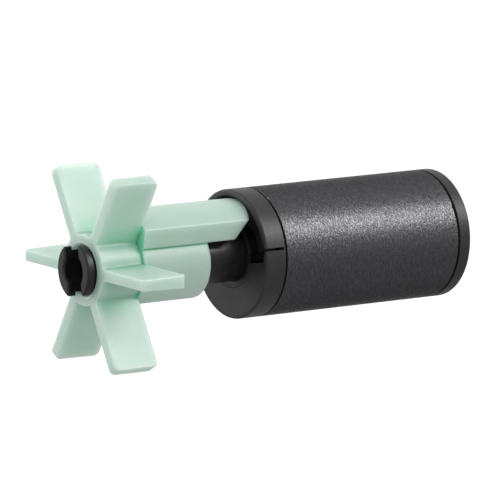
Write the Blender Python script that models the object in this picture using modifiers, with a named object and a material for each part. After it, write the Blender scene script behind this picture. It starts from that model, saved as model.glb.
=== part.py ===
"""Impeller and magnet rotor of a small circulation pump, as an assembly of separate pieces.

The rotor's axis lies along Y, with the nose towards -Y and the claw arm on top, towards +Z. The origin is on
the axis, half-way between the nose's front and the rear face. The pieces are modelled standing up, nose up,
under an empty that lays them down, so "station" below means the height above the middle of the axis, towards
the nose. The impeller hangs from its own empty on the axis, because it turns on the spindle.
"""

import math

import bmesh
import bpy
from mathutils import Matrix

MM = 0.001

# Driving dimensions, in millimetres. Stations run along the axis, positive towards the nose.
LENGTH = 60.5  # nose front to rear face
MAGNET_RADIUS = 9.0
BLADE_TIP_RADIUS = 15.1
CAP_FRONT = 4.5  # station of the front cap's open face
ROTOR_TURN = math.radians(9.0)  # the rotor's parts sit turned from the impeller by this much

FIT = 0.3  # gap between pieces that touch on the real object
OVERLAP = 0.3  # how far solids that are joined run into each other
OVERSHOOT = 1.0  # how far cutters run past what they cut
NOSE_FRONT = LENGTH / 2
REAR_FACE = -LENGTH / 2

# Spindle
TUBE_RADIUS = 3.75
NECK_RADIUS = 3.3  # the thinner front stretch, inside the hub
LIP_RADIUS = 3.94  # the snap lips of the nose
LIP_LENGTH = 1.15
LIP_CHAMFER = 0.3
NECK_START = 19.0  # station where the tube steps down to the neck
NOSE_FLAT = 3.4  # half the height left by the flats on top and bottom of the lips
NOSE_BORE_RADIUS = 2.34
BEARING_SEAT_RADIUS = 2.9
BEARING_SEAT_END = 18.6
SLOT_WIDTH = 3.24
SLOT_DEPTH = 2.0
CLIP_GROOVE = (-29.95, -29.45)  # stations of the tail groove
CLIP_GROOVE_RADIUS = 3.5

# Bearings and thrust washers
BUSH_RADIUS = BEARING_SEAT_RADIUS - FIT
SHAFT_BORE_RADIUS = 1.55
BUSH_LENGTH = 6.0
WASHER_BORE_RADIUS = 1.7
WASHER_THICKNESS = 0.4

# Front cap
CAP_REAR = 1.3
CUP_RADIUS = 8.1
CUP_FLOOR = 2.5
BORE_RADIUS = TUBE_RADIUS + FIT
EDGE_CHAMFER = 0.25
BLOCK_OFFSET = 1.32  # the stop block's flat face lies this far below the axis
SLIT_WIDTH = 0.35
SLIT_ANGLE = math.radians(2.5)  # above the level of the axis, on the turned rotor
NOTCH_MOUTH = 2.9  # width of the V notch inside each slit
NOTCH_APEX_RADIUS = 8.75
NOTCH_FLOOR = 2.7

# Gaskets sit in a pocket in each cap's inner face
POCKET_RADII = (5.9, 8.2)
POCKET_DEPTH = 0.6
GASKET_THICKNESS = 0.3
GASKET_CLEARANCE = 0.2

# Retaining ring, flush with the stop block's face, and stop pads
RING_RADIUS = 4.4
RING_LENGTH = 0.6
PAD_SIZE = (2.9, 1.0, 1.5)  # along the block's face, off the face, along the axis
PAD_CENTRE = 6.15
PAD_CORNER = 0.2

# Magnet and rear cap
MAGNET_FRONT = CAP_REAR - FIT
MAGNET_REAR = -28.0
REAR_CAP_FRONT = MAGNET_REAR - FIT
REAR_ROUNDING = 0.7
CLIP_RECESS_RADIUS = 5.7
CLIP_RECESS_FLOOR = -29.35
CLIP_RADII = (3.6, 5.4)
CLIP_STATIONS = (-29.85, -29.55)
CLIP_OPENING = math.radians(70)

# Impeller
HUB_FRONT = 28.8
HUB_RADIUS = 4.95
HUB_REAR = 22.75
HUB_CHAMFER = 0.3
HUB_NECK_BORE_RADIUS = NECK_RADIUS + FIT
COLLAR_RADIUS = 5.4
COLLAR_FRONT = 22.0
COLLAR_REAR = 11.05
COLLAR_GROOVE = 0.25
COLLAR_ROUNDING = 0.5
BLADE_COUNT = 6
BLADE_THICKNESS = 1.65
BLADE_STATIONS = (21.75, 28.65)
BLADE_ROOT_RADIUS = 4.35
BLADE_CORNER = 0.7

# Claw arm: a saddle over the tube, with a slanted end that enters the cup at the top
ARM_TOP_RADIUS = 7.74
ARM_TOP_HALF_WIDTH = 5.35
ARM_BASE_HALF_WIDTH = 5.1
ARM_BASE_HEIGHT = 2.95
ARM_ARCH_RADIUS = 4.3
ARM_BACK_STEPS = 16
ARM_ARCH_STEPS = 12
ARM_LOW_END = 7.1  # station of the arm's end at its base
ARM_END_SLOPE = 0.81

STEPS = 64
TUBE_STEPS = 48
SMALL_STEPS = 32


def material(name, colour, roughness, metallic=0.0):
    made = bpy.data.materials.new(name)
    made.use_nodes = True
    shader = made.node_tree.nodes["Principled BSDF"]
    shader.inputs["Base Color"].default_value = (*colour, 1.0)
    shader.inputs["Roughness"].default_value = roughness
    shader.inputs["Metallic"].default_value = metallic
    return made


def collection(name):
    made = bpy.data.collections.new(name)
    bpy.context.scene.collection.children.link(made)
    return made


def clear_scene():
    for old in list(bpy.data.objects):
        bpy.data.objects.remove(old)


clear_scene()
PARTS = collection("pump_rotor")
CUTTERS = collection("cutters")


def empty(name, parent=None, turn=0.0):
    made = bpy.data.objects.new(name, None)
    PARTS.objects.link(made)
    made.parent = parent
    made.rotation_euler.z = turn
    return made


rotor_axis = empty("rotor_axis")
rotor_axis.rotation_euler.x = math.pi / 2
impeller_hinge = empty("impeller_hinge", rotor_axis)
rotor_turn = empty("rotor_turn", rotor_axis, ROTOR_TURN)


def place(name, mesh, parent, finish=None):
    """Adds a mesh as a part, or as a cutter or an operand when it has no finish."""
    made = bpy.data.objects.new(name, mesh)
    made.parent = parent
    if finish is None:
        CUTTERS.objects.link(made)
        made.hide_render = True
        made.display_type = "WIRE"
    else:
        PARTS.objects.link(made)
        mesh.materials.append(finish)
    return made


def turned(name, profile, parent, finish=None, steps=STEPS):
    """A piece turned about the axis, from a closed loop of (radius, station) down its outer side."""
    mesh = bpy.data.meshes.new(name)
    count = len(profile)
    points = [(radius * MM, 0.0, station * MM) for radius, station in profile]
    mesh.from_pydata(points, [(i, (i + 1) % count) for i in range(count)], [])
    made = place(name, mesh, parent, finish)
    screw = made.modifiers.new("turn", "SCREW")
    screw.axis = "Z"
    screw.angle = math.tau
    screw.steps = steps
    screw.render_steps = steps
    screw.use_merge_vertices = True
    screw.merge_threshold = 0.00001
    screw.use_smooth_shade = True
    return made


def ring(name, radii, stations, parent, finish=None, steps=SMALL_STEPS):
    """A plain ring: (inner, outer) radii and (low, high) stations."""
    inner, outer = radii
    low, high = stations
    return turned(name, [(outer, high), (outer, low), (inner, low), (inner, high)], parent, finish, steps)


def arc(radius, start, end, count):
    """Points on a circle about the axis, both ends included."""
    angles = [start + (end - start) * i / count for i in range(count + 1)]
    return [(radius * math.cos(a), radius * math.sin(a)) for a in angles]


def extruded(name, outline, stations, parent, finish=None):
    """A flat outline across the axis, drawn out between two stations."""
    low, high = stations
    curve = bpy.data.curves.new(name, "CURVE")
    curve.dimensions = "2D"
    curve.fill_mode = "BOTH"
    curve.extrude = (high - low) / 2 * MM
    spline = curve.splines.new("POLY")
    spline.points.add(len(outline) - 1)
    for point, (x, y) in zip(spline.points, outline):
        point.co = (x * MM, y * MM, 0.0, 1.0)
    spline.use_cyclic_u = True
    drawn = bpy.data.objects.new(name, curve)
    drawn.location.z = (low + high) / 2 * MM
    CUTTERS.objects.link(drawn)
    bpy.context.view_layer.update()
    evaluated = drawn.evaluated_get(bpy.context.evaluated_depsgraph_get())
    mesh = bpy.data.meshes.new_from_object(evaluated)
    mesh.transform(drawn.matrix_world)
    bpy.data.objects.remove(drawn)
    shape = bmesh.new()
    shape.from_mesh(mesh)
    bmesh.ops.remove_doubles(shape, verts=shape.verts, dist=0.000001)
    bmesh.ops.recalc_face_normals(shape, faces=shape.faces)
    shape.to_mesh(mesh)
    shape.free()
    return place(name, mesh, parent, finish)


def block(name, size, centre, turn, parent, finish=None, corner=0.0):
    """A box turned about the axis by an angle, with its edges rounded where a corner size is given."""
    shape = bmesh.new()
    bmesh.ops.create_cube(shape, size=1.0)
    bmesh.ops.scale(shape, vec=[side * MM for side in size], verts=shape.verts)
    if corner:
        edges = shape.edges[:]
        bmesh.ops.bevel(shape, geom=edges, offset=corner * MM, segments=2, profile=0.5, affect="EDGES")
    bmesh.ops.translate(shape, vec=[c * MM for c in centre], verts=shape.verts)
    bmesh.ops.rotate(shape, cent=(0, 0, 0), matrix=Matrix.Rotation(turn, 3, "Z"), verts=shape.verts)
    mesh = bpy.data.meshes.new(name)
    shape.to_mesh(mesh)
    shape.free()
    return place(name, mesh, parent, finish)


def boolean(target, operation, operand):
    change = target.modifiers.new(f"{operation.lower()} {operand.name}", "BOOLEAN")
    change.operation = operation
    change.solver = "EXACT"
    change.object = operand


def make_spindle(finish):
    lip_rear = NOSE_FRONT - LIP_LENGTH
    groove_low, groove_high = CLIP_GROOVE
    profile = [
        (LIP_RADIUS - LIP_CHAMFER, NOSE_FRONT),
        (LIP_RADIUS, NOSE_FRONT - LIP_CHAMFER),
        (LIP_RADIUS, lip_rear),
        (NECK_RADIUS, lip_rear),
        (NECK_RADIUS, NECK_START),
        (TUBE_RADIUS, NECK_START),
        (TUBE_RADIUS, groove_high),
        (CLIP_GROOVE_RADIUS, groove_high),
        (CLIP_GROOVE_RADIUS, groove_low),
        (TUBE_RADIUS, groove_low),
        (TUBE_RADIUS, REAR_FACE),
        (BEARING_SEAT_RADIUS, REAR_FACE),
        (BEARING_SEAT_RADIUS, BEARING_SEAT_END),
        (NOSE_BORE_RADIUS, BEARING_SEAT_END),
        (NOSE_BORE_RADIUS, NOSE_FRONT),
    ]
    spindle = turned("spindle", profile, rotor_turn, finish, TUBE_STEPS)
    slot_size = (SLOT_WIDTH, 2 * (LIP_RADIUS + OVERSHOOT), SLOT_DEPTH + OVERSHOOT)
    slot_centre = (0.0, 0.0, NOSE_FRONT - SLOT_DEPTH + slot_size[2] / 2)
    slot = block("nose_slot", slot_size, slot_centre, 0.0, rotor_turn)
    boolean(spindle, "DIFFERENCE", slot)
    flat_size = (2 * (LIP_RADIUS + OVERSHOOT), LIP_RADIUS, 2 * (LIP_LENGTH + FIT))
    for name, side in (("upper_nose_flat", 1), ("lower_nose_flat", -1)):
        flat_centre = (0.0, side * (NOSE_FLAT + LIP_RADIUS / 2), NOSE_FRONT)
        boolean(spindle, "DIFFERENCE", block(name, flat_size, flat_centre, 0.0, rotor_turn))


def make_bearings(bush_finish, washer_finish):
    washer_top = BEARING_SEAT_END - FIT
    front_top = washer_top - WASHER_THICKNESS - FIT
    rear_low = CLIP_GROOVE[0] + WASHER_THICKNESS + 2 * FIT
    bush_radii = (SHAFT_BORE_RADIUS, BUSH_RADIUS)
    washer_radii = (WASHER_BORE_RADIUS, BUSH_RADIUS)
    front_washer = (washer_top - WASHER_THICKNESS, washer_top)
    rear_washer = (rear_low - FIT - WASHER_THICKNESS, rear_low - FIT)
    ring("front_thrust_washer", washer_radii, front_washer, rotor_turn, washer_finish)
    ring("front_bearing", bush_radii, (front_top - BUSH_LENGTH, front_top), rotor_turn, bush_finish)
    ring("rear_bearing", bush_radii, (rear_low, rear_low + BUSH_LENGTH), rotor_turn, bush_finish)
    ring("rear_thrust_washer", washer_radii, rear_washer, rotor_turn, washer_finish)


def make_front_cap(finish):
    pocket_inner, pocket_outer = POCKET_RADII
    pocket = CAP_REAR + POCKET_DEPTH
    profile = [
        (MAGNET_RADIUS - EDGE_CHAMFER, CAP_FRONT),
        (MAGNET_RADIUS, CAP_FRONT - EDGE_CHAMFER),
        (MAGNET_RADIUS, CAP_REAR),
        (pocket_outer, CAP_REAR),
        (pocket_outer, pocket),
        (pocket_inner, pocket),
        (pocket_inner, CAP_REAR),
        (BORE_RADIUS - FIT, CAP_REAR),
        (BORE_RADIUS - FIT, CUP_FLOOR),
        (CUP_RADIUS, CUP_FLOOR),
        (CUP_RADIUS, CAP_FRONT),
    ]
    cap = turned("front_cap", profile, rotor_turn, finish)

    block_radius = CUP_RADIUS + OVERLAP
    dip = math.asin(BLOCK_OFFSET / block_radius)
    outline = arc(block_radius, math.pi + dip, math.tau - dip, STEPS // 2)
    stop_block = extruded("stop_block", outline, (CUP_FLOOR - OVERLAP, CAP_FRONT), rotor_turn)
    boolean(cap, "UNION", stop_block)
    hole_radii = (BLOCK_OFFSET / 2, BORE_RADIUS)  # the block doesn't reach inside the smaller one
    hole_stations = (CAP_REAR - OVERSHOOT, CAP_FRONT + OVERSHOOT)
    tube_hole = ring("tube_hole", hole_radii, hole_stations, rotor_turn, None, STEPS)
    boolean(cap, "DIFFERENCE", tube_hole)
    seat_radii = (BLOCK_OFFSET / 2, RING_RADIUS + FIT)
    seat_stations = (CAP_FRONT - RING_LENGTH - FIT, CAP_FRONT + OVERSHOOT)
    ring_seat = ring("ring_seat", seat_radii, seat_stations, rotor_turn, None, STEPS)
    boolean(cap, "DIFFERENCE", ring_seat)

    rim_outside = MAGNET_RADIUS + OVERSHOOT
    inside = CUP_RADIUS - OVERLAP
    half_mouth, half_apex = NOTCH_MOUTH / 2, SLIT_WIDTH / 4
    for side, angle in (("right", SLIT_ANGLE), ("left", math.pi - SLIT_ANGLE)):
        slit_length = rim_outside - inside
        slit_size = (slit_length, SLIT_WIDTH, CAP_FRONT - CAP_REAR + 2 * OVERSHOOT)
        slit_centre = ((rim_outside + inside) / 2, 0.0, (CAP_FRONT + CAP_REAR) / 2)
        slit = block(f"{side}_slit", slit_size, slit_centre, angle, rotor_turn)
        boolean(cap, "DIFFERENCE", slit)
        corners = [(inside, -half_mouth), (NOTCH_APEX_RADIUS, -half_apex)]
        corners += [(NOTCH_APEX_RADIUS, half_apex), (inside, half_mouth)]
        cos, sin = math.cos(angle), math.sin(angle)
        notch_outline = [(x * cos - y * sin, x * sin + y * cos) for x, y in corners]
        notch = extruded(f"{side}_notch", notch_outline, (NOTCH_FLOOR, CAP_FRONT + OVERSHOOT), rotor_turn)
        boolean(cap, "DIFFERENCE", notch)


def make_stop_pads(finish):
    thickness, depth = PAD_SIZE[1:]
    height = -BLOCK_OFFSET + FIT + thickness / 2
    station = CUP_FLOOR + FIT + depth / 2
    for name, across in (("right_stop_pad", PAD_CENTRE), ("left_stop_pad", -PAD_CENTRE)):
        block(name, PAD_SIZE, (across, height, station), 0.0, rotor_turn, finish, PAD_CORNER)


def make_magnet(finish):
    corner = EDGE_CHAMFER / 2
    profile = [
        (MAGNET_RADIUS - corner, MAGNET_FRONT),
        (MAGNET_RADIUS, MAGNET_FRONT - corner),
        (MAGNET_RADIUS, MAGNET_REAR + corner),
        (MAGNET_RADIUS - corner, MAGNET_REAR),
        (BORE_RADIUS, MAGNET_REAR),
        (BORE_RADIUS, MAGNET_FRONT),
    ]
    turned("magnet", profile, rotor_turn, finish)


def make_gaskets(finish):
    radii = (POCKET_RADII[0] + GASKET_CLEARANCE, POCKET_RADII[1] - GASKET_CLEARANCE)
    front = (CAP_REAR, CAP_REAR + GASKET_THICKNESS)
    rear = (REAR_CAP_FRONT - GASKET_THICKNESS, REAR_CAP_FRONT)
    ring("front_gasket", radii, front, rotor_turn, finish, TUBE_STEPS)
    ring("rear_gasket", radii, rear, rotor_turn, finish, TUBE_STEPS)


def make_retaining_ring(finish):
    stations = (CAP_FRONT - RING_LENGTH, CAP_FRONT)
    ring("retaining_ring", (BORE_RADIUS, RING_RADIUS), stations, rotor_turn, finish, TUBE_STEPS)


def make_rear_cap(finish):
    pocket_inner, pocket_outer = POCKET_RADII
    pocket = REAR_CAP_FRONT - POCKET_DEPTH
    rounding = [
        (MAGNET_RADIUS - REAR_ROUNDING + x, REAR_FACE + REAR_ROUNDING + y)
        for x, y in arc(REAR_ROUNDING, 0.0, -math.pi / 2, 4)
    ]
    profile = [(pocket_outer, REAR_CAP_FRONT), (MAGNET_RADIUS, REAR_CAP_FRONT)]
    profile += rounding
    profile += [
        (CLIP_RECESS_RADIUS, REAR_FACE),
        (CLIP_RECESS_RADIUS, CLIP_RECESS_FLOOR),
        (BORE_RADIUS, CLIP_RECESS_FLOOR),
        (BORE_RADIUS, REAR_CAP_FRONT),
        (pocket_inner, REAR_CAP_FRONT),
        (pocket_inner, pocket),
        (pocket_outer, pocket),
    ]
    turned("rear_cap", profile, rotor_turn, finish)


def make_rear_clip(finish):
    clip = ring("rear_clip", CLIP_RADII, CLIP_STATIONS, rotor_turn, finish)
    half = CLIP_OPENING / 2
    across = math.tan(half) * 2 * CLIP_RADII[1]
    wedge = [(0.0, 0.0), (-across, -2 * CLIP_RADII[1]), (across, -2 * CLIP_RADII[1])]
    stations = (CLIP_STATIONS[0] - OVERSHOOT, CLIP_STATIONS[1] + OVERSHOOT)
    opening = extruded("clip_opening", wedge, stations, rotor_turn)
    boolean(clip, "DIFFERENCE", opening)


def arm_outline():
    """The arm's section: a round back, upright sides, flat feet and an arch over the tube."""
    top = math.acos(ARM_TOP_HALF_WIDTH / ARM_TOP_RADIUS)
    arch = math.asin(ARM_BASE_HEIGHT / ARM_ARCH_RADIUS)
    back = arc(ARM_TOP_RADIUS, top, math.pi - top, ARM_BACK_STEPS)
    left_foot = [(-ARM_BASE_HALF_WIDTH, ARM_BASE_HEIGHT)]
    right_foot = [(ARM_BASE_HALF_WIDTH, ARM_BASE_HEIGHT)]
    return back + left_foot + arc(ARM_ARCH_RADIUS, math.pi - arch, arch, ARM_ARCH_STEPS) + right_foot


def make_impeller(finish):
    profile = [
        (HUB_RADIUS - HUB_CHAMFER, HUB_FRONT),
        (HUB_RADIUS, HUB_FRONT - HUB_CHAMFER),
        (HUB_RADIUS, HUB_REAR),
        (HUB_RADIUS - COLLAR_GROOVE, COLLAR_FRONT + COLLAR_GROOVE),
        (HUB_RADIUS - COLLAR_GROOVE, COLLAR_FRONT),
        (COLLAR_RADIUS, COLLAR_FRONT),
    ]
    profile += [
        (COLLAR_RADIUS - COLLAR_ROUNDING + x, COLLAR_REAR + COLLAR_ROUNDING + y)
        for x, y in arc(COLLAR_ROUNDING, 0.0, -math.pi / 2, 2)
    ]
    profile += [
        (BORE_RADIUS, COLLAR_REAR),
        (BORE_RADIUS, NECK_START + FIT),
        (HUB_NECK_BORE_RADIUS, NECK_START + FIT),
        (HUB_NECK_BORE_RADIUS, HUB_FRONT),
    ]
    impeller = turned("impeller", profile, impeller_hinge, finish)

    arm = extruded("claw_arm", arm_outline(), (ARM_LOW_END, COLLAR_FRONT), impeller_hinge)
    middle = (ARM_LOW_END + COLLAR_FRONT) / 2 * MM
    for vertex in arm.data.vertices:
        if vertex.co.z < middle:
            vertex.co.z = ARM_LOW_END * MM - ARM_END_SLOPE * (vertex.co.y - ARM_BASE_HEIGHT * MM)
    boolean(impeller, "UNION", arm)

    lie = Matrix.Rotation(math.pi / 2, 4, "X")
    sides = (-BLADE_THICKNESS / 2, BLADE_THICKNESS / 2)
    for number in range(BLADE_COUNT):
        blade = extruded(f"blade_{number + 1}", blade_outline(), sides, impeller_hinge)
        turn = Matrix.Rotation(number * math.tau / BLADE_COUNT, 4, "Z")
        blade.data.transform(turn @ lie)
        boolean(impeller, "UNION", blade)


def blade_outline():
    """One blade seen from its side: across is the radius, up is the station. Both tip corners are cut off."""
    low, high = BLADE_STATIONS
    root, tip, corner = BLADE_ROOT_RADIUS, BLADE_TIP_RADIUS, BLADE_CORNER
    lower = [(root, low), (tip - corner, low), (tip, low + corner)]
    upper = [(tip, high - corner), (tip - corner, high), (root, high)]
    return lower + upper


mint_plastic = material("mint_plastic", (0.42, 0.66, 0.55), 0.42)
black_plastic = material("black_plastic", (0.025, 0.026, 0.028), 0.45)
cap_plastic = material("cap_plastic", (0.06, 0.06, 0.063), 0.5)
ferrite = material("ferrite", (0.075, 0.075, 0.08), 0.42, 0.35)
black_rubber = material("black_rubber", (0.02, 0.02, 0.02), 0.8)
white_ceramic = material("white_ceramic", (0.8, 0.79, 0.76), 0.3)
washer_plastic = material("washer_plastic", (0.7, 0.7, 0.67), 0.5)

make_spindle(black_plastic)
make_bearings(white_ceramic, washer_plastic)
make_front_cap(cap_plastic)
make_stop_pads(black_rubber)
make_magnet(ferrite)
make_gaskets(black_rubber)
make_retaining_ring(black_plastic)
make_rear_cap(cap_plastic)
make_rear_clip(black_plastic)
make_impeller(mint_plastic)
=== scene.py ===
"""Looks of the impeller and magnet rotor of a small circulation pump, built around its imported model.

Pieces are modelled standing up, nose at the top, in millimetres: x and y lie across the rotor's axis, and
the third value is the station, the height above the middle of the axis. settle() lays each one down along
the frame's Y.
"""

import math
import random

import bmesh
import bpy
from mathutils import Matrix, Vector


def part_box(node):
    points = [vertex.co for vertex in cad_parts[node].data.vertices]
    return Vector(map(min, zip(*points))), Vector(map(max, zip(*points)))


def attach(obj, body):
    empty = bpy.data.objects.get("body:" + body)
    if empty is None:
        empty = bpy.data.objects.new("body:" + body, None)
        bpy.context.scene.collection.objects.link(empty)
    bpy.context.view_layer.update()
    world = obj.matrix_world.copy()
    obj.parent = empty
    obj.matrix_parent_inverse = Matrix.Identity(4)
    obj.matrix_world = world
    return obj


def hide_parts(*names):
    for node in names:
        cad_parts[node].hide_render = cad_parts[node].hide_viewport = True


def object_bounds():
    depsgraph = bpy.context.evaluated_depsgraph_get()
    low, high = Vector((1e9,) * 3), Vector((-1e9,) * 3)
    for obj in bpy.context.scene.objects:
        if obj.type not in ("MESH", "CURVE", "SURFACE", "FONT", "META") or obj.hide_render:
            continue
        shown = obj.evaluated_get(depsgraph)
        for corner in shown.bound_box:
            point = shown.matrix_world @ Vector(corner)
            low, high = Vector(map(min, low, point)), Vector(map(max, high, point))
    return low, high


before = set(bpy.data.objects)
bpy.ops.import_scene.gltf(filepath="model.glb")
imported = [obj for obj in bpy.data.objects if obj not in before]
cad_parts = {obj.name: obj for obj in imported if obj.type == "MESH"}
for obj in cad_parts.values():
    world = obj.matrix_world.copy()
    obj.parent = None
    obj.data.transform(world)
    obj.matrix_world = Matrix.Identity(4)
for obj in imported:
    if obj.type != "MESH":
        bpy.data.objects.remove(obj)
CAD_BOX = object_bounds()

MM = 0.001
LIE_DOWN = Matrix.Rotation(math.pi / 2, 4, "X")
ROTOR_TURN = math.radians(9.0)  # the rotor sits turned from the impeller by this much
ROUND = 160  # sides of the large turned pieces
SMALL_ROUND = 96
SHARP_ANGLE = math.radians(32.0)  # edges sharper than this aren't shaded smooth
OVERSHOOT = 1.0  # how far cutters run past what they cut


def reach(node):
    """A turned node's outer radius, in millimetres."""
    low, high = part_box(node)
    return max(high.x, high.z) / MM


def stations(node):
    """(low, high) stations of a node, in millimetres, high towards the nose."""
    low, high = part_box(node)
    return -high.y / MM, -low.y / MM


REAR_FACE, NOSE_FRONT = stations("spindle")
CAP_REAR, CAP_FRONT = stations("front_cap")
MAGNET_REAR, MAGNET_FRONT = stations("magnet")
REAR_CAP_REAR, REAR_CAP_FRONT = stations("rear_cap")
HUB_FRONT = stations("impeller")[1]
BLADE_TIP = reach("impeller")
MAGNET_RADIUS = reach("magnet")


# Flat outlines ----------------------------------------------------------------------------------------------


def arc(centre, radius, start, end, count):
    """Points on a circle, both ends included."""
    angles = [start + (end - start) * i / count for i in range(count + 1)]
    return [(centre[0] + radius * math.cos(a), centre[1] + radius * math.sin(a)) for a in angles]


def rounded(corners, count=4):
    """A closed outline from (x, y, radius) corners, each drawn as an arc of its radius."""
    points = []
    for i, (x, y, radius) in enumerate(corners):
        here = Vector((x, y))
        if radius <= 0:
            points.append((x, y))
            continue
        back = Vector(corners[i - 1][:2]) - here
        ahead = Vector(corners[(i + 1) % len(corners)][:2]) - here
        half = back.angle(ahead) / 2
        reach_back = min(radius / math.tan(half), 0.49 * back.length, 0.49 * ahead.length)
        radius = reach_back * math.tan(half)
        back.normalize()
        ahead.normalize()
        centre = here + (back + ahead).normalized() * radius / math.sin(half)
        start = here + back * reach_back - centre
        end = here + ahead * reach_back - centre
        first = math.atan2(start.y, start.x)
        sweep = (math.atan2(end.y, end.x) - first + math.pi) % math.tau - math.pi
        points += arc(centre, radius, first, first + sweep, count)
    return points


def shrunk(outline, amount):
    """An anticlockwise outline moved inwards by an amount, point by point."""
    if not amount:
        return outline
    moved = []
    for i, point in enumerate(outline):
        here = Vector(point)
        into = (here - Vector(outline[i - 1])).normalized()
        out = (Vector(outline[(i + 1) % len(outline)]) - here).normalized()
        side = Vector((-into.y - out.y, into.x + out.x)).normalized()
        turn = max(0.5, side.dot(Vector((-into.y, into.x))))
        moved.append(tuple(here + side * amount / turn))
    return moved


def spun(outline, angle):
    """An outline turned about the axis."""
    cos, sin = math.cos(angle), math.sin(angle)
    return [(x * cos - y * sin, x * sin + y * cos) for x, y in outline]


def raised(outline, station):
    """An outline as (x, y, station) points."""
    return [(x, y, station) for x, y in outline]


def eased(edge, steps):
    """(inset, back) pairs round an eased edge, from the end face to where the side begins."""
    if not edge:
        return [(0.0, 0.0)]
    leans = [math.pi / 2 * i / steps for i in range(steps + 1)]
    return [(edge * (1 - math.sin(lean)), edge * (1 - math.cos(lean))) for lean in leans]


# Solids -----------------------------------------------------------------------------------------------------


def new_object(name, shape):
    """Closes a bmesh made in millimetres into an object in metres."""
    bmesh.ops.remove_doubles(shape, verts=shape.verts, dist=0.0005)
    bmesh.ops.recalc_face_normals(shape, faces=shape.faces)
    bmesh.ops.scale(shape, vec=(MM, MM, MM), verts=shape.verts)
    mesh = bpy.data.meshes.new(name)
    shape.to_mesh(mesh)
    shape.free()
    made = bpy.data.objects.new(name, mesh)
    bpy.context.scene.collection.objects.link(made)
    return made


def turned(name, profile, sides=ROUND, closed=True):
    """Turns (radius, station) points about the axis. An open profile starts and ends on the axis."""
    shape = bmesh.new()
    rings = []
    for i in range(sides):
        angle = math.tau * i / sides
        cos, sin = math.cos(angle), math.sin(angle)
        rings.append([shape.verts.new((r * cos, r * sin, s)) for r, s in profile])
    spans = len(profile) if closed else len(profile) - 1
    for i, ring in enumerate(rings):
        following = rings[(i + 1) % sides]
        for j in range(spans):
            k = (j + 1) % len(profile)
            shape.faces.new((ring[j], ring[k], following[k], following[j]))
    return new_object(name, shape)


def stacked(name, levels):
    """A skin through outlines of (x, y, station) points, all of one length, closed at both ends."""
    shape = bmesh.new()
    rings = [[shape.verts.new(point) for point in level] for level in levels]
    for lower, upper in zip(rings, rings[1:]):
        for i in range(len(lower)):
            k = (i + 1) % len(lower)
            shape.faces.new((lower[i], lower[k], upper[k], upper[i]))
    shape.faces.new(rings[0])
    shape.faces.new(rings[-1])
    return new_object(name, shape)


def drawn_out(name, outline, low, high, low_edge=0.0, high_edge=0.0, count=4):
    """An outline drawn out between two stations, its end edges rounded off."""
    lower = [raised(shrunk(outline, inset), low + back) for inset, back in eased(low_edge, count)]
    upper = [raised(shrunk(outline, inset), high - back) for inset, back in eased(high_edge, count)]
    return stacked(name, lower + upper[::-1])


def plug(name, radius, low, high):
    """A cylinder about the axis, to cut with."""
    return turned(name, [(0, low), (radius, low), (radius, high), (0, high)], closed=False)


def combined(target, operation, *operands):
    """Joins or cuts a solid with others, which are used up."""
    for operand in operands:
        change = target.modifiers.new("combine", "BOOLEAN")
        change.operation = operation
        change.solver = "EXACT"
        change.object = operand
        bpy.context.view_layer.update()
        evaluated = target.evaluated_get(bpy.context.evaluated_depsgraph_get())
        mesh = bpy.data.meshes.new_from_object(evaluated)
        target.modifiers.clear()
        target.data = mesh
        bpy.data.objects.remove(operand)
    return target


def settle(made, body, node, finish, turn=ROTOR_TURN):
    """Lays a finished piece down in the frame, on its body, in place of its node."""
    made.data.transform(LIE_DOWN @ Matrix.Rotation(turn, 4, "Z"))
    made.data.shade_smooth()
    made.data.set_sharp_from_angle(angle=SHARP_ANGLE)
    even = made.modifiers.new("even shading", "WEIGHTED_NORMAL")
    even.keep_sharp = True
    even.weight = 100
    made.data.materials.clear()
    made.data.materials.append(finish)
    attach(made, body)
    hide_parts(node)
    return made


# Materials --------------------------------------------------------------------------------------------------


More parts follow.
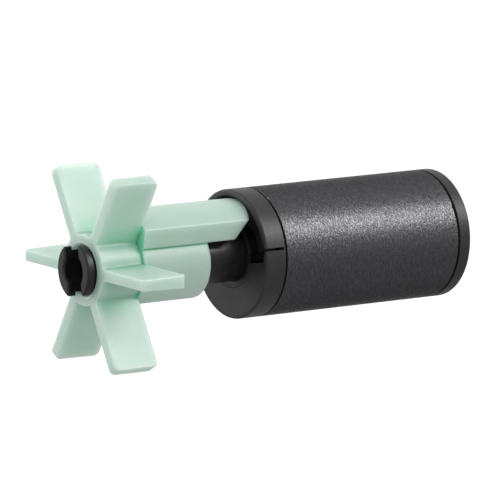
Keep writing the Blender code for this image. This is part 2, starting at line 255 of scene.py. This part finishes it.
class Paint:
    """A node material under construction, with the object's own coordinates in metres."""

    def __init__(self, name):
        self.material = bpy.data.materials.new(name)
        self.material.use_nodes = True
        self.nodes = self.material.node_tree.nodes
        self.links = self.material.node_tree.links
        self.shader = self.nodes["Principled BSDF"]
        self.place = self.nodes.new("ShaderNodeTexCoord").outputs["Object"]

    def set(self, **values):
        """Uniform values, by socket name with underscores for spaces."""
        for name, value in values.items():
            self.shader.inputs[name.replace("_", " ")].default_value = value

    def link(self, output, name):
        """Feeds a varying value or colour to the shader."""
        self.links.new(output, self.shader.inputs[name])

    def grain(self, size, detail=3.0, roughness=0.55):
        """Noise whose marks have these sizes in millimetres along x, y and z."""
        stretch = self.nodes.new("ShaderNodeMapping")
        stretch.inputs["Scale"].default_value = [1 / (side * MM) for side in size]
        self.links.new(self.place, stretch.inputs["Vector"])
        noise = self.nodes.new("ShaderNodeTexNoise")
        noise.inputs["Scale"].default_value = 1.0
        noise.inputs["Detail"].default_value = detail
        noise.inputs["Roughness"].default_value = roughness
        self.links.new(stretch.outputs["Vector"], noise.inputs["Vector"])
        return noise.outputs["Fac"]

    def between(self, factor, low, high, start=0.3, end=0.7):
        """A number that runs from low to high as the factor runs from start to end."""
        node = self.nodes.new("ShaderNodeMapRange")
        for name, value in (("From Min", start), ("From Max", end), ("To Min", low), ("To Max", high)):
            node.inputs[name].default_value = value
        self.links.new(factor, node.inputs["Value"])
        return node.outputs["Result"]

    def colours(self, factor, stops):
        """A colour read off a ramp of (position, colour) stops."""
        ramp = self.nodes.new("ShaderNodeValToRGB")
        elements = ramp.color_ramp.elements
        while len(elements) < len(stops):
            elements.new(0.5)
        for element, (position, colour) in zip(elements, stops):
            element.position = position
            element.color = (*colour, 1.0)
        self.links.new(factor, ramp.inputs["Fac"])
        return ramp.outputs["Color"]

    def bumps(self, *layers):
        """Stacks (height, depth in millimetres) layers into the surface normal."""
        normal = None
        for height, depth in layers:
            bump = self.nodes.new("ShaderNodeBump")
            bump.inputs["Distance"].default_value = depth * MM
            self.links.new(height, bump.inputs["Height"])
            if normal is not None:
                self.links.new(normal, bump.inputs["Normal"])
            normal = bump.outputs["Normal"]
        self.link(normal, "Normal")


def greys(low, high):
    """Ramp stops from one grey to another."""
    return [(0.3, (low, low, low)), (0.7, (high, high, high))]


def mint_plastic():
    """Milky translucent moulded plastic: faintly mottled, softly glossy, with painted shade that turns its
    corners a deeper green.
    """
    paint = Paint("mint_plastic")
    mottle = paint.grain((4.0, 4.0, 4.0), 2.0)
    fine = paint.grain((0.35, 0.35, 0.35), 3.0)
    surface = paint.colours(mottle, [(0.3, (0.465, 0.635, 0.545)), (0.7, (0.50, 0.655, 0.572))])
    # Painted shade: where the plastic is closed in by its own corners, the colour turns a deeper, more
    # saturated green, standing in for light bounced and scattered inside the plastic.
    painted_shade_occlusion = paint.nodes.new("ShaderNodeAmbientOcclusion")
    painted_shade_occlusion.only_local = True
    painted_shade_occlusion.inputs["Distance"].default_value = 6 * MM
    depth = paint.between(painted_shade_occlusion.outputs["AO"], 1.0, 0.0, 0.12, 0.88)
    painted_shade_mix = paint.nodes.new("ShaderNodeMix")
    painted_shade_mix.data_type = "RGBA"
    paint.links.new(depth, painted_shade_mix.inputs["Factor"])
    paint.links.new(surface, painted_shade_mix.inputs["A"])
    # The painted shade's deep green, mixed in where the corners close in.
    painted_shade_mix.inputs["B"].default_value = (0.12, 0.60, 0.37, 1)
    paint.link(painted_shade_mix.outputs["Result"], "Base Color")
    paint.link(paint.between(fine, 0.36, 0.46), "Roughness")
    paint.bumps((fine, 0.004), (mottle, 0.02))
    paint.set(IOR=1.49, Subsurface_Weight=1.0, Subsurface_Radius=(1.0, 0.9, 0.95), Subsurface_Scale=4.0 * MM)
    return paint.material


def ferrite():
    """Ground magnet ceramic: grey, with fine scratches running round it and a gloss that glints in specks."""
    paint = Paint("ferrite")
    scratches = paint.grain((0.75, 0.17, 0.75), 4.0, 0.65)
    glints = paint.grain((0.42, 0.26, 0.42), 2.0)
    fine = paint.grain((0.12, 0.07, 0.12), 2.0)
    shades = [(0.36, (0.058, 0.058, 0.060)), (0.60, (0.092, 0.092, 0.098)), (0.74, (0.14, 0.14, 0.148))]
    paint.link(paint.colours(scratches, shades), "Base Color")
    paint.link(paint.between(glints, 0.17, 0.46, 0.35, 0.65), "Roughness")
    paint.bumps((scratches, 0.08), (glints, 0.04), (fine, 0.015))
    paint.set(Metallic=1.0, Specular_Tint=(0.45, 0.45, 0.45, 1))
    return paint.material


def cap_plastic():
    """Dark grey moulded plastic with a fine, dull grain."""
    paint = Paint("cap_plastic")
    fine = paint.grain((0.2, 0.2, 0.2), 3.0)
    clouds = paint.grain((2.5, 2.5, 2.5), 2.0)
    paint.link(paint.colours(clouds, greys(0.016, 0.024)), "Base Color")
    paint.link(paint.between(fine, 0.40, 0.52), "Roughness")
    paint.bumps((fine, 0.006), (clouds, 0.015))
    paint.set(IOR=1.5, Specular_IOR_Level=0.33)
    return paint.material


def black_plastic():
    """Near-black moulded plastic, slightly polished where it rubs."""
    paint = Paint("black_plastic")
    fine = paint.grain((0.25, 0.25, 0.25), 3.0)
    rubbed = paint.grain((2.0, 0.5, 2.0), 2.0)
    paint.link(paint.colours(rubbed, greys(0.006, 0.011)), "Base Color")
    paint.link(paint.between(rubbed, 0.30, 0.46), "Roughness")
    paint.bumps((fine, 0.005))
    paint.set(IOR=1.5, Specular_IOR_Level=0.33)
    return paint.material


def black_rubber():
    """Dull black rubber with a powdery surface."""
    paint = Paint("black_rubber")
    fine = paint.grain((0.15, 0.15, 0.15), 3.0)
    paint.link(paint.colours(fine, greys(0.002, 0.004)), "Base Color")
    paint.link(paint.between(fine, 0.75, 0.9), "Roughness")
    paint.bumps((fine, 0.01))
    paint.set(Specular_IOR_Level=0.04)
    return paint.material


def pale(name, low, high, roughness):
    """A pale, faintly speckled bearing material."""
    paint = Paint(name)
    fine = paint.grain((0.1, 0.1, 0.1), 2.0)
    paint.link(paint.colours(fine, [(0.3, low), (0.7, high)]), "Base Color")
    paint.link(paint.between(fine, roughness - 0.05, roughness + 0.08), "Roughness")
    paint.bumps((fine, 0.002))
    return paint.material


MINT = mint_plastic()
FERRITE = ferrite()
CAP = cap_plastic()
BLACK = black_plastic()
RUBBER = black_rubber()
CERAMIC = pale("white_ceramic", (0.70, 0.69, 0.66), (0.80, 0.79, 0.76), 0.3)
WASHER = pale("washer_plastic", (0.55, 0.55, 0.52), (0.68, 0.68, 0.64), 0.5)


# Impeller ---------------------------------------------------------------------------------------------------

BLADES = 6
BLADE_HALF = 0.78  # half the thickness at the front face
BLADE_DRAFT = 0.02  # what each millimetre back adds to it
BLADE_FRONT = 28.65
BLADE_REAR = 21.75
BLADE_CORNER = 0.8
BLADE_EDGE = 0.16
ROOT_FILLET = 0.45
HUB_RADIUS = 4.95
SHOULDER = 0.7  # the hub's rear end rounds off over this length, down to a fine groove
GROOVE_DEPTH = 0.08
BOSS_RADIUS, BOSS_REAR = 4.15, 28.0  # the low rim round the nose
COLLAR_RADIUS = 5.4
COLLAR_REAR, COLLAR_FRONT = 11.05, 22.0
NECK_BORE, TUBE_BORE, BORE_STEP = 3.6, 4.05, 19.3
ARM_TOP_RADIUS, ARM_ARCH_RADIUS = 7.74, 4.3
ARM_TOP_HALF, ARM_BASE_HALF = 5.35, 5.1
ARM_LOW_END = 7.1
ARM_END_SLOPE = 0.81
ARM_END_KNEE, ARM_UPPER_SLOPE = 5.6, 0.6  # the slanted end steepens above this height
ARM_BASE = 2.95
ARM_END_EDGE = 0.15


def quarter(distance, radius):
    """How far a rounded edge stands back at this distance from its end."""
    if distance >= radius:
        return 0.0
    return radius - math.sqrt(radius**2 - (radius - distance) ** 2)


def blade_sector(tip, hub, half, inset):
    """One blade and its share of the hub, from mid-gap to mid-gap, all drawn in by the inset."""
    half, fillet, edge = half - inset, ROOT_FILLET + inset, max(BLADE_EDGE - inset, 0.02)
    tip, hub = tip - inset, hub - inset
    across = math.sqrt((hub + fillet) ** 2 - (half + fillet) ** 2)
    root = math.atan2(half + fillet, across)
    gap = math.pi / BLADES
    lower = arc((0, 0), hub, -gap, -root, 6)[:-1]
    lower += arc((across, -half - fillet), fillet, math.pi - root, math.pi / 2, 5)
    lower += [(across + part * (tip - across), -half) for part in (0.35, 0.7)]
    lower += arc((tip - edge, -half + edge), edge, -math.pi / 2, 0, 4)
    upper = [(x, -y) for x, y in reversed(lower)]
    return lower + upper[:-1]


def blade_star(station):
    """The section through hub and blades at a station."""
    ends = min(BLADE_FRONT - station, station - BLADE_REAR)
    tip = BLADE_TIP - quarter(ends, BLADE_CORNER)
    hub = HUB_RADIUS
    behind = COLLAR_FRONT + SHOULDER - station
    if behind > 0:
        hub -= GROOVE_DEPTH * min(1.0, behind / SHOULDER) ** 2
    half = BLADE_HALF + BLADE_DRAFT * (BLADE_FRONT - station)
    outline = []
    for number in range(BLADES):
        outline += spun(blade_sector(tip, hub, half, quarter(ends, BLADE_EDGE)), number * math.tau / BLADES)
    return raised(outline, station)


def arm_outline(inset):
    """The claw arm's section: a round back, upright sides, flat feet and an arch over the tube."""
    top_half, base_half, base = ARM_TOP_HALF - inset, ARM_BASE_HALF - inset, ARM_BASE + inset
    back_radius, arch_radius = ARM_TOP_RADIUS - inset, ARM_ARCH_RADIUS + inset
    top = math.acos(top_half / back_radius)
    arch = math.asin(base / arch_radius)
    back = arc((0, 0), back_radius, top, math.pi - top, 28)
    inside = arc((0, 0), arch_radius, math.pi - arch, arch, 20)
    edge = max(0.3 - inset, 0.02)
    corners = [(*back[0], edge)] + raised(back[1:-1], 0) + [(*back[-1], edge)]
    corners += [(-base_half, base, edge)] + raised(inside, 0) + [(base_half, base, edge)]
    return rounded(corners)


def arm_end(height):
    """Station of the arm's slanted end at a height above the axis."""
    knee = min(height, ARM_END_KNEE)
    return ARM_LOW_END - ARM_END_SLOPE * (knee - ARM_BASE) - ARM_UPPER_SLOPE * (height - knee)


def arm_levels():
    """Outlines along the arm, from its slanted end in the cup to its front face."""
    levels = []
    for inset, back in eased(ARM_END_EDGE, 5):
        levels.append([(x, y, arm_end(y) + back) for x, y in arm_outline(inset)])
    for inset, back in reversed(eased(BLADE_EDGE, 5)):
        levels.append(raised(arm_outline(inset), COLLAR_FRONT - back))
    return levels


def make_impeller():
    near_end = [0.0, 0.015, 0.05, 0.1, 0.15, 0.2, 0.3, 0.45, 0.6, 0.8]
    marks = {BLADE_REAR + d for d in near_end} | {BLADE_FRONT - d for d in near_end}
    marks |= {COLLAR_FRONT + SHOULDER * i / 6 for i in range(7)}
    star = stacked("impeller_moulding", [blade_star(s) for s in sorted(marks)])

    middle = 2.0  # well inside every bore, so that the joined solid is bored afterwards
    collar = rounded([
        (COLLAR_RADIUS, COLLAR_FRONT, 0.18),
        (COLLAR_RADIUS, COLLAR_REAR, 0.55),
        (middle, COLLAR_REAR, 0),
        (middle, COLLAR_FRONT, 0),
    ])
    boss = rounded([
        (BOSS_RADIUS, HUB_FRONT, 0.2),
        (BOSS_RADIUS, BOSS_REAR, 0),
        (middle, BOSS_REAR, 0),
        (middle, HUB_FRONT, 0),
    ])
    arm = stacked("arm", arm_levels())
    star = combined(star, "UNION", turned("collar", collar), turned("boss", boss), arm)

    rim = 0.2
    above, below = HUB_FRONT + OVERSHOOT, COLLAR_REAR - OVERSHOOT
    bore = [(0, above), (NECK_BORE + rim + OVERSHOOT, above), (NECK_BORE, HUB_FRONT - rim)]
    bore += [(NECK_BORE, BORE_STEP), (TUBE_BORE, BORE_STEP), (TUBE_BORE, COLLAR_REAR + rim)]
    bore += [(TUBE_BORE + rim, COLLAR_REAR), (TUBE_BORE + rim, below), (0, below)]
    star = combined(star, "DIFFERENCE", turned("bore", bore, closed=False))
    settle(star, "impeller", "impeller", MINT, turn=0.0)


# Spindle ----------------------------------------------------------------------------------------------------

TUBE_RADIUS, NECK_RADIUS, LIP_RADIUS = 3.75, 3.3, 3.94
LIP_REAR, NECK_START, SLOT_FLOOR = 29.1, 19.0, 28.25
LIP_EDGE = 0.3
SLOT_HALF, NOSE_FLAT, NOSE_BORE = 1.62, 3.4, 2.34
BUSH_SEAT_RADIUS, BUSH_SEAT_END = 2.9, 18.6
CLIP_GROOVE_RADIUS, CLIP_GROOVE = 3.5, (-29.95, -29.45)


def prong_outline(radius, inset):
    """The right prong's section: the slot and bore inside, a round outside, and a flat above and below."""
    radius, slot, bore_radius = radius - inset, SLOT_HALF + inset, NOSE_BORE + inset
    flat = min(NOSE_FLAT - inset, math.sqrt(radius**2 - slot**2) - 0.01)
    half = math.asin(flat / radius)
    bore = math.acos(slot / bore_radius)
    outside = arc((0, 0), radius, -half, half, 24)
    inside = arc((0, 0), bore_radius, bore, -bore, 12)
    ease, inner_ease = 0.45 - inset, max(0.15 - inset, 0.02)
    corners = [(*outside[0], ease)] + raised(outside[1:-1], 0) + [(*outside[-1], ease), (slot, flat, ease)]
    corners += [(*inside[0], inner_ease)] + raised(inside[1:-1], 0) + [(*inside[-1], inner_ease)]
    return rounded(corners + [(slot, -flat, ease)])


def prong_levels():
    """Outlines up the right prong: its foot in the neck, then the snap lip with an eased front edge."""
    levels = [(SLOT_FLOOR - 1.0, NECK_RADIUS, 0.0), (LIP_REAR - 0.01, NECK_RADIUS, 0.0)]
    levels += [(LIP_REAR, LIP_RADIUS - 0.1, 0.0), (LIP_REAR + 0.1, LIP_RADIUS, 0.0)]
    levels += [(NOSE_FRONT - back, LIP_RADIUS, inset) for inset, back in reversed(eased(LIP_EDGE, 5))]
    return [raised(prong_outline(radius, inset), station) for station, radius, inset in levels]


def make_spindle():
    groove_low, groove_high = CLIP_GROOVE
    tube = rounded([
        (NECK_RADIUS, SLOT_FLOOR, 0),
        (NECK_RADIUS, NECK_START, 0.1),
        (TUBE_RADIUS, NECK_START, 0.2),
        (TUBE_RADIUS, groove_high, 0.05),
        (CLIP_GROOVE_RADIUS, groove_high, 0),
        (CLIP_GROOVE_RADIUS, groove_low, 0),
        (TUBE_RADIUS, groove_low, 0.05),
        (TUBE_RADIUS, REAR_FACE, 0.1),
        (BUSH_SEAT_RADIUS, REAR_FACE, 0.1),
        (BUSH_SEAT_RADIUS, BUSH_SEAT_END, 0),
        (NOSE_BORE, BUSH_SEAT_END, 0),
        (NOSE_BORE, SLOT_FLOOR, 0),
    ])
    spindle = turned("spindle_moulding", tube, SMALL_ROUND)
    right = stacked("right_prong", prong_levels())
    left = stacked("left_prong", [[(-x, -y, station) for x, y, station in level] for level in prong_levels()])
    spindle = combined(spindle, "UNION", right, left)
    settle(spindle, "rotor", "spindle", BLACK)


# Caps -------------------------------------------------------------------------------------------------------

CUP_RADIUS, CUP_FLOOR, BORE_RADIUS = 8.1, 2.5, 4.05
BLOCK_OFFSET = 1.32
SLIT_HALF, SLIT_ANGLE, SLIT_FLOOR = 0.19, math.radians(2.5), CAP_REAR + 0.25
NOTCH_BELOW, NOTCH_ABOVE, NOTCH_APEX, NOTCH_FLOOR = 1.65, 2.0, 8.75, CUP_FLOOR + 0.2
POCKET_INNER, POCKET_OUTER, POCKET_DEPTH = 5.9, 8.2, 0.6
SEAT_OUTER, SEAT_FLOOR = 4.7, 3.6  # the retaining ring's seat in the stop block


def stop_block():
    """The block that fills the cup's lower half, run into the cup's wall and floor so that they join."""
    into_wall, into_floor, edge = 0.35, 0.4, 0.15
    radius = CUP_RADIUS + into_wall
    dip = math.asin(BLOCK_OFFSET / radius)
    outline = arc((0, 0), radius, math.pi + dip, math.tau - dip, 60)
    ends = (0, len(outline) - 1)
    levels = [raised(outline, CUP_FLOOR - into_floor)]
    for inset, back in reversed(eased(edge, 3)):
        lowered = [(x, y - inset if i in ends else y) for i, (x, y) in enumerate(outline)]
        levels.append(raised(lowered, CAP_FRONT - back))
    return stacked("stop_block", levels)


def slit_cutters(angle):
    """The slit through the rim at an angle, and the notch that widens it towards the axis."""
    outside, inside = MAGNET_RADIUS + OVERSHOOT, CUP_RADIUS - 0.5
    slit = [(inside, -SLIT_HALF), (outside, -SLIT_HALF), (outside, SLIT_HALF), (inside, SLIT_HALF)]
    below, above = (NOTCH_BELOW, NOTCH_ABOVE) if angle < 1 else (NOTCH_ABOVE, NOTCH_BELOW)
    notch = [(inside, -below), (NOTCH_APEX, -SLIT_HALF / 2), (NOTCH_APEX, SLIT_HALF / 2), (inside, above)]
    slit_cut = drawn_out("slit", spun(slit, angle), SLIT_FLOOR, CAP_FRONT + OVERSHOOT)
    notch_cut = drawn_out("notch", spun(notch, angle), NOTCH_FLOOR, CAP_FRONT + OVERSHOOT)
    return slit_cut, notch_cut


def make_front_cap():
    pocket = CAP_REAR + POCKET_DEPTH
    hidden_radius = BORE_RADIUS - 0.3  # cut away when the tube's hole is bored
    profile = rounded([
        (MAGNET_RADIUS, CAP_FRONT, 0.3),
        (MAGNET_RADIUS, CAP_REAR, 0.08),
        (POCKET_OUTER, CAP_REAR, 0.05),
        (POCKET_OUTER, pocket, 0),
        (POCKET_INNER, pocket, 0),
        (POCKET_INNER, CAP_REAR, 0),
        (hidden_radius, CAP_REAR, 0),
        (hidden_radius, CUP_FLOOR, 0),
        (CUP_RADIUS, CUP_FLOOR, 0.15),
        (CUP_RADIUS, CAP_FRONT, 0.12),
    ])
    cap = combined(turned("front_cap_moulding", profile), "UNION", stop_block())
    tube_hole = plug("tube_hole", BORE_RADIUS, CAP_REAR - OVERSHOOT, CAP_FRONT + OVERSHOOT)
    ring_seat = plug("ring_seat", SEAT_OUTER, SEAT_FLOOR, CAP_FRONT + OVERSHOOT)
    cap = combined(cap, "DIFFERENCE", tube_hole, ring_seat)
    for angle in (SLIT_ANGLE, math.pi - SLIT_ANGLE):
        cap = combined(cap, "DIFFERENCE", *slit_cutters(angle))
    settle(cap, "rotor", "front_cap", CAP)


def make_rear_cap():
    pocket = REAR_CAP_FRONT - POCKET_DEPTH
    recess_radius, recess_floor = 5.7, -29.35
    profile = rounded([
        (MAGNET_RADIUS, REAR_CAP_FRONT, 0.08),
        (MAGNET_RADIUS, REAR_CAP_REAR, 0.5),
        (recess_radius, REAR_CAP_REAR, 0.2),
        (recess_radius, recess_floor, 0.1),
        (BORE_RADIUS, recess_floor, 0.1),
        (BORE_RADIUS, REAR_CAP_FRONT, 0),
        (POCKET_INNER, REAR_CAP_FRONT, 0),
        (POCKET_INNER, pocket, 0),
        (POCKET_OUTER, pocket, 0),
        (POCKET_OUTER, REAR_CAP_FRONT, 0),
    ], count=6)
    settle(turned("rear_cap_moulding", profile), "rotor", "rear_cap", CAP)


# Magnet -----------------------------------------------------------------------------------------------------


def chip(angle, station, chance):
    """A small shell-shaped break in the magnet's brittle edge."""
    shape = bmesh.new()
    bmesh.ops.create_icosphere(shape, subdivisions=2, radius=1.0)
    for vertex in shape.verts:
        vertex.co *= chance.uniform(0.75, 1.15)
    size = (0.16, chance.uniform(0.4, 0.9), chance.uniform(0.16, 0.28))
    bmesh.ops.scale(shape, vec=size, verts=shape.verts)
    bmesh.ops.translate(shape, vec=(MAGNET_RADIUS, 0, station), verts=shape.verts)
    bmesh.ops.rotate(shape, cent=(0, 0, 0), matrix=Matrix.Rotation(angle, 3, "Z"), verts=shape.verts)
    return new_object("chip", shape)


def make_magnet():
    profile = rounded([
        (MAGNET_RADIUS, MAGNET_FRONT, 0.12),
        (MAGNET_RADIUS, MAGNET_REAR, 0.12),
        (BORE_RADIUS, MAGNET_REAR, 0.1),
        (BORE_RADIUS, MAGNET_FRONT, 0.1),
    ])
    magnet = turned("ferrite_magnet", profile)
    chance = random.Random(7)
    for angle in (24, 31, 96, 171, 228, 305):
        magnet = combined(magnet, "DIFFERENCE", chip(math.radians(angle) - ROTOR_TURN, MAGNET_REAR, chance))
    for angle in (62, 140, 262):
        magnet = combined(magnet, "DIFFERENCE", chip(math.radians(angle) - ROTOR_TURN, MAGNET_FRONT, chance))
    settle(magnet, "rotor", "magnet", FERRITE)


# Small rings, bushes, clip and pads -------------------------------------------------------------------------

BUSH_BORE, WASHER_BORE = 1.55, 1.7
PAD_CENTRE = 6.15


def make_ring(name, node, inner, finish, edge, outer=None):
    """A turned ring in place of a node, with its edges eased."""
    low, high = stations(node)
    outer = outer or reach(node)
    corners = [(outer, high, edge), (outer, low, edge), (inner, low, edge), (inner, high, edge)]
    return settle(turned(name, rounded(corners), SMALL_ROUND), "rotor", node, finish)


def make_seal(name, node, magnet_face, cap_face):
    """A gasket squeezed out of the cap's pocket, so that its lip closes the joint with the magnet."""
    inner, outer, lip, play, depth = 6.1, 8.0, 8.9, 0.02, 0.3
    into_cap = math.copysign(1.0, cap_face - magnet_face)
    low, high, bottom = magnet_face + into_cap * play, cap_face - into_cap * play, cap_face + into_cap * depth
    section = [(lip, low), (inner, low), (inner, bottom), (outer, bottom), (outer, high), (lip, high)]
    settle(turned(name, section), "rotor", node, RUBBER)


def make_clip():
    """An open spring ring, with its four tips eased."""
    low, high = stations("rear_clip")
    inner, outer, steps, tip, edge = 3.6, 5.4, 64, 0.25, 0.06
    half_opening = math.radians(35)
    first, last = half_opening - math.pi / 2, 1.5 * math.pi - half_opening
    outline = arc((0, 0), outer, first, last, steps) + arc((0, 0), inner, last, first, steps)
    tips = (0, steps, steps + 1, 2 * steps + 1)
    corners = [(x, y, tip if i in tips else 0) for i, (x, y) in enumerate(outline)]
    clip = drawn_out("spring_clip", rounded(corners), low, high, edge, edge, 3)
    settle(clip, "rotor", "rear_clip", BLACK)


def make_pad(name, node, across):
    """A stop pad on the block's face, centred this far across from the axis."""
    length, thickness, gap, ease, edge = 2.9, 1.0, 0.3, 0.25, 0.15
    low, high = stations(node)
    middle = -BLOCK_OFFSET + gap + thickness / 2
    corners = []
    for x, y in ((-1, -1), (1, -1), (1, 1), (-1, 1)):
        corners.append((across + x * length / 2, middle + y * thickness / 2, ease))
    pad = drawn_out(name, rounded(corners), low, high, edge, edge)
    settle(pad, "rotor", node, RUBBER)


def make_small_pieces():
    play = 0.03
    inner, outer = TUBE_RADIUS + play, SEAT_OUTER - play
    make_ring("tube_ring", "retaining_ring", inner, BLACK, 0.06, outer)
    for end in ("front", "rear"):
        make_ring(f"{end}_bush", f"{end}_bearing", BUSH_BORE, CERAMIC, 0.2)
    for end in ("front", "rear"):
        make_ring(f"{end}_washer", f"{end}_thrust_washer", WASHER_BORE, WASHER, 0.08)
    make_seal("front_seal", "front_gasket", MAGNET_FRONT, CAP_REAR)
    make_seal("rear_seal", "rear_gasket", MAGNET_REAR, REAR_CAP_FRONT)
    make_clip()
    make_pad("right_pad", "right_stop_pad", PAD_CENTRE)
    make_pad("left_pad", "left_stop_pad", -PAD_CENTRE)


# Camera, floor and light ------------------------------------------------------------------------------------

AZIMUTH, ELEVATION, ROLL = math.radians(55.65), math.radians(9.6), math.radians(0.25)
DISTANCE, PAN, DROP = 0.831, 0.02594, 0.00268
LENS = 423.8


def make_camera():
    """A long lens from the front right, a little above the axis, aimed past the rear face's middle."""
    back = Vector((
        math.sin(AZIMUTH) * math.cos(ELEVATION),
        -math.cos(AZIMUTH) * math.cos(ELEVATION),
        math.sin(ELEVATION),
    ))
    right = Vector((math.cos(AZIMUTH), math.sin(AZIMUTH), 0))
    up = back.cross(right)
    data = bpy.data.cameras.new("camera")
    data.lens = LENS
    data.sensor_width = 36
    data.clip_start = 0.01
    data.clip_end = 10
    camera = bpy.data.objects.new("camera", data)
    bpy.context.scene.collection.objects.link(camera)
    facing = Matrix((right, up, back)).transposed().to_4x4() @ Matrix.Rotation(ROLL, 4, "Z")
    rear = Vector((0, CAD_BOX[1].y, 0))
    camera.matrix_world = Matrix.Translation(rear + back * DISTANCE - right * PAN - up * DROP) @ facing
    bpy.context.scene.camera = camera


def make_floor():
    """White paper under the object, seen by the camera alone."""
    shape = bmesh.new()
    bmesh.ops.create_grid(shape, x_segments=1, y_segments=1, size=3.0)
    mesh = bpy.data.meshes.new("floor")
    shape.to_mesh(mesh)
    shape.free()
    floor = bpy.data.objects.new("floor", mesh)
    floor.location.z = CAD_BOX[0].z - 0.0001
    bpy.context.scene.collection.objects.link(floor)
    paper = bpy.data.materials.new("floor_paper")
    paper.use_nodes = True
    shader = paper.node_tree.nodes["Principled BSDF"]
    shader.inputs["Base Color"].default_value = (0.1, 0.1, 0.1, 1)
    shader.inputs["Roughness"].default_value = 0.9
    shader.inputs["Emission Color"].default_value = (1, 1, 1, 1)
    shader.inputs["Emission Strength"].default_value = 0.95
    mesh.materials.append(paper)
    floor.visible_glossy = floor.visible_diffuse = floor.visible_transmission = False


def softbox(name, azimuth, elevation, distance, size, power):
    """A rectangular light seen only in reflections, facing the object, its first side along the axis."""
    a, e = math.radians(azimuth), math.radians(elevation)
    towards = Vector((math.sin(a) * math.cos(e), -math.cos(a) * math.cos(e), math.sin(e)))
    along = Vector((0, 1, 0))
    along = (along - towards * towards.dot(along)).normalized()
    data = bpy.data.lights.new(name, "AREA")
    data.shape = "RECTANGLE"
    data.size, data.size_y = size
    data.energy = power
    light = bpy.data.objects.new(name, data)
    facing = Matrix((along, towards.cross(along), towards)).transposed().to_4x4()
    light.matrix_world = Matrix.Translation(towards * distance) @ facing
    light.visible_diffuse = False
    bpy.context.scene.collection.objects.link(light)


def make_light():
    """A soft surround, brighter above than below, and two soft boxes for the gloss."""
    world = bpy.data.worlds.new("studio")
    world.use_nodes = True
    nodes, links = world.node_tree.nodes, world.node_tree.links
    height = nodes.new("ShaderNodeSeparateXYZ")
    links.new(nodes.new("ShaderNodeTexCoord").outputs["Generated"], height.inputs["Vector"])
    fade = nodes.new("ShaderNodeMapRange")
    fade.interpolation_type = "SMOOTHSTEP"
    for name, value in (("From Min", -0.4), ("From Max", 0.4), ("To Min", 0.54), ("To Max", 1.06)):
        fade.inputs[name].default_value = value
    links.new(height.outputs["Z"], fade.inputs["Value"])
    links.new(fade.outputs["Result"], nodes["Background"].inputs["Strength"])
    nodes["Background"].inputs["Color"].default_value = (1, 1, 1, 1)
    bpy.context.scene.world = world
    bpy.context.scene.view_settings.view_transform = "Standard"
    softbox("strip", 130, 37, 0.6, (0.40, 0.16), 3.1)
    softbox("front", -50, 12, 0.6, (0.30, 0.30), 0.8)


make_camera()
make_floor()
make_light()
make_impeller()
make_spindle()
make_front_cap()
make_rear_cap()
make_magnet()
make_small_pieces()
